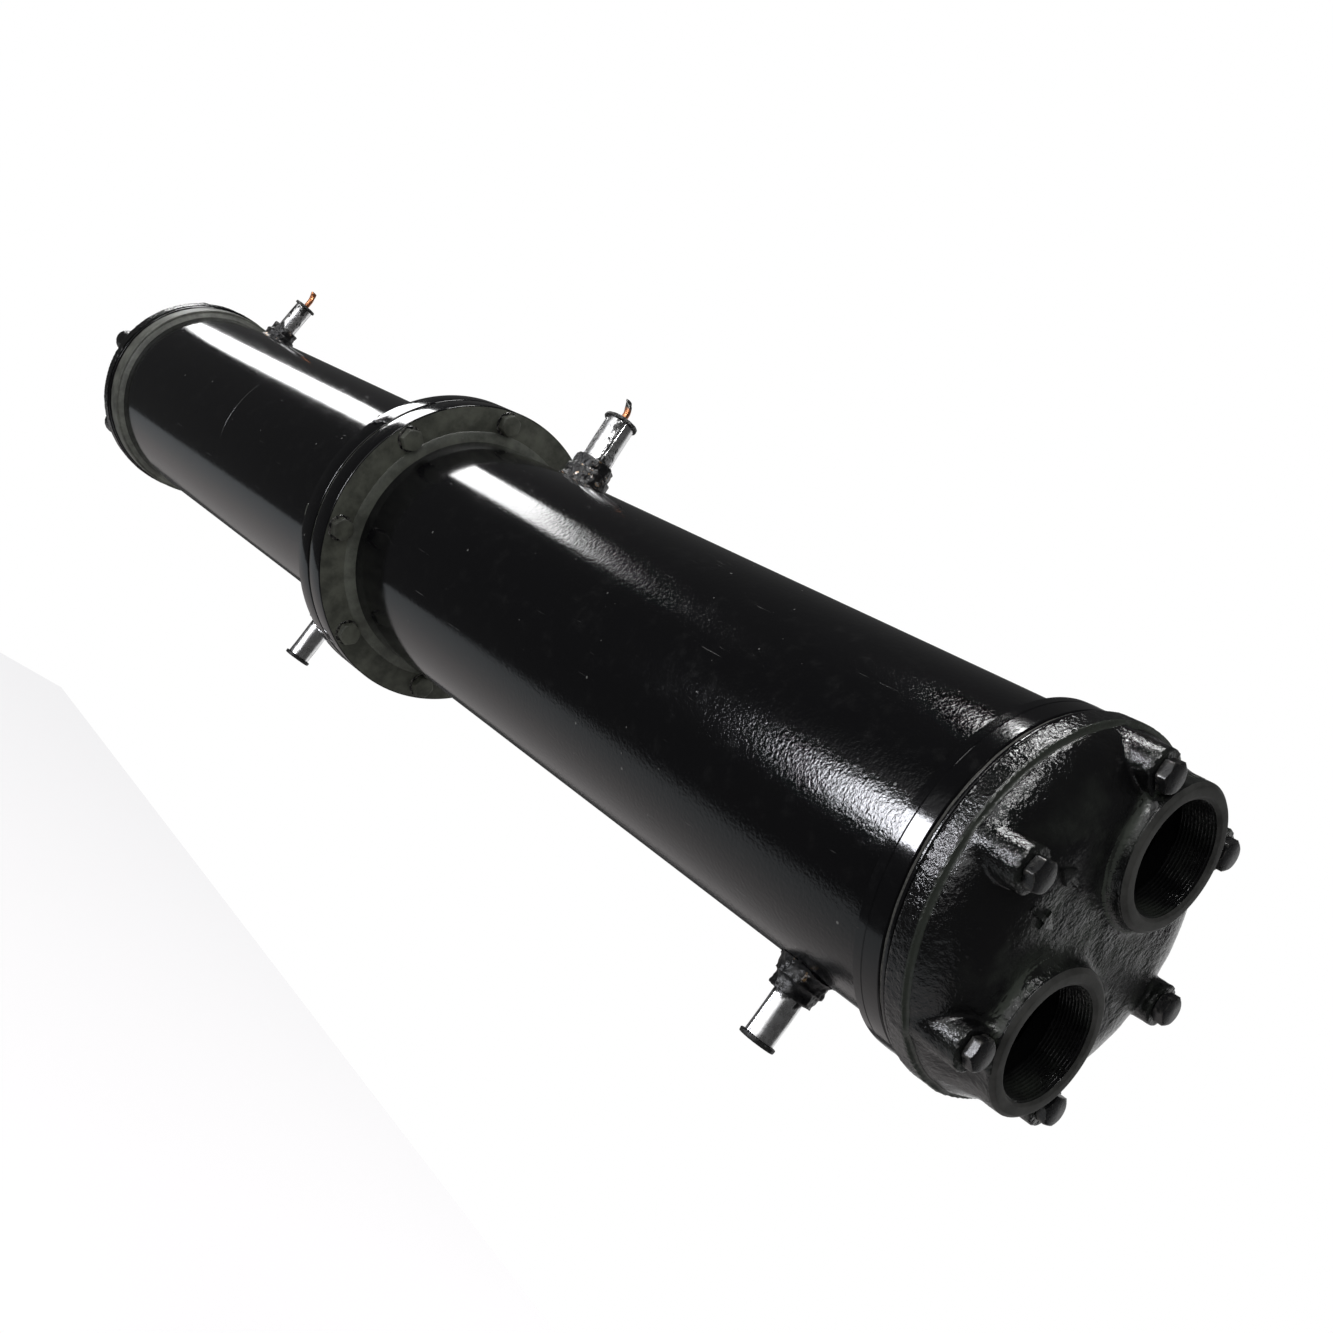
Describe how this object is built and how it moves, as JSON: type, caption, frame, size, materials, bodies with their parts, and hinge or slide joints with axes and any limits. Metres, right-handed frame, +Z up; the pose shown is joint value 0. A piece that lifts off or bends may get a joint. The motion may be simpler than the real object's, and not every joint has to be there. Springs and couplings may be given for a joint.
{
  "type": "shell-and-tube hydraulic oil cooler",
  "caption": "Long black steel shell-and-tube oil cooler: two pipe shells bolted at a mid flange, cast water heads at the ends, threaded water ports and capped oil stubs.",
  "frame": {"origin": "on the shell axis, in the joint plane of the mid flange", "axes": "+X along the shell axis towards the ported head, +Z up through the water outlet port and the upper oil stubs"},
  "size_m": [1.486, 0.284, 0.3749],
  "materials": {
    "black_enamel": "glossy black enamel, slightly orange-peeled, scratched and dusty in places",
    "cast_black_paint": "black paint over rough sand-cast iron",
    "satin_grey_paint": "satin grey-green paint over turned steel",
    "fastener_steel": "black-painted hexagon fasteners, bright where the paint is chipped",
    "pipe_steel": "bright steel pipe smeared with black paint",
    "cap_steel": "black-painted turned steel plug, worn at the edges",
    "cap_rubber": "matt black moulded rubber plug",
    "process_copper": "bare drawn copper, tarnished",
    "tube_copper": "bare copper tube and steel baffles",
    "gasket_fibre": "grey pressed-fibre gasket"
  },
  "bodies": {
    "cooler": {"far_end_tubesheet": "black_enamel", "far_lower_coupling": "black_enamel", "far_lower_pipe": "pipe_steel", "far_mid_tubesheet": "satin_grey_paint", "far_shell": "black_enamel", "far_tube_bundle": "tube_copper", "far_upper_cap": "cap_steel", "far_upper_coupling": "black_enamel", "far_upper_pipe": "pipe_steel", "far_upper_process_tube": "process_copper", "flange_bolt_1": "satin_grey_paint", "flange_bolt_2": "satin_grey_paint", "flange_bolt_3": "satin_grey_paint", "flange_bolt_4": "satin_grey_paint", "flange_bolt_5": "satin_grey_paint", "flange_bolt_6": "satin_grey_paint", "flange_bolt_7": "satin_grey_paint", "flange_bolt_8": "satin_grey_paint", "flange_nut_1": "satin_grey_paint", "flange_nut_2": "satin_grey_paint", "flange_nut_3": "satin_grey_paint", "flange_nut_4": "satin_grey_paint", "flange_nut_5": "satin_grey_paint", "flange_nut_6": "satin_grey_paint", "flange_nut_7": "satin_grey_paint", "flange_nut_8": "satin_grey_paint", "mid_gasket": "gasket_fibre", "near_end_tubesheet": "black_enamel", "near_lower_coupling": "black_enamel", "near_lower_pipe": "pipe_steel", "near_mid_tubesheet": "satin_grey_paint", "near_shell": "black_enamel", "near_tube_bundle": "tube_copper", "near_upper_cap": "cap_steel", "near_upper_coupling": "black_enamel", "near_upper_pipe": "pipe_steel", "near_upper_process_tube": "process_copper", "ported_head": "cast_black_paint", "ported_head_bolt_1": "fastener_steel", "ported_head_bolt_2": "fastener_steel", "ported_head_bolt_3": "fastener_steel", "ported_head_bolt_4": "fastener_steel", "ported_head_bolt_5": "fastener_steel", "ported_head_bolt_6": "fastener_steel", "ported_head_gasket": "gasket_fibre", "return_head": "cast_black_paint", "return_head_bolt_1": "fastener_steel", "return_head_bolt_2": "fastener_steel", "return_head_bolt_3": "fastener_steel", "return_head_bolt_4": "fastener_steel", "return_head_bolt_5": "fastener_steel", "return_head_bolt_6": "fastener_steel", "return_head_gasket": "gasket_fibre"},
    "near_cap": {"near_lower_cap": "cap_rubber"},
    "far_cap": {"far_lower_cap": "cap_rubber"}
  },
  "joints": [
    {"name": "near_cap_pull", "type": "slide", "parent": "cooler", "child": "near_cap", "axis": [0, 0, -1], "range_m": [0, 0.04]},
    {"name": "far_cap_pull", "type": "slide", "parent": "cooler", "child": "far_cap", "axis": [0, 0, -1], "range_m": [0, 0.04]}
  ]
}
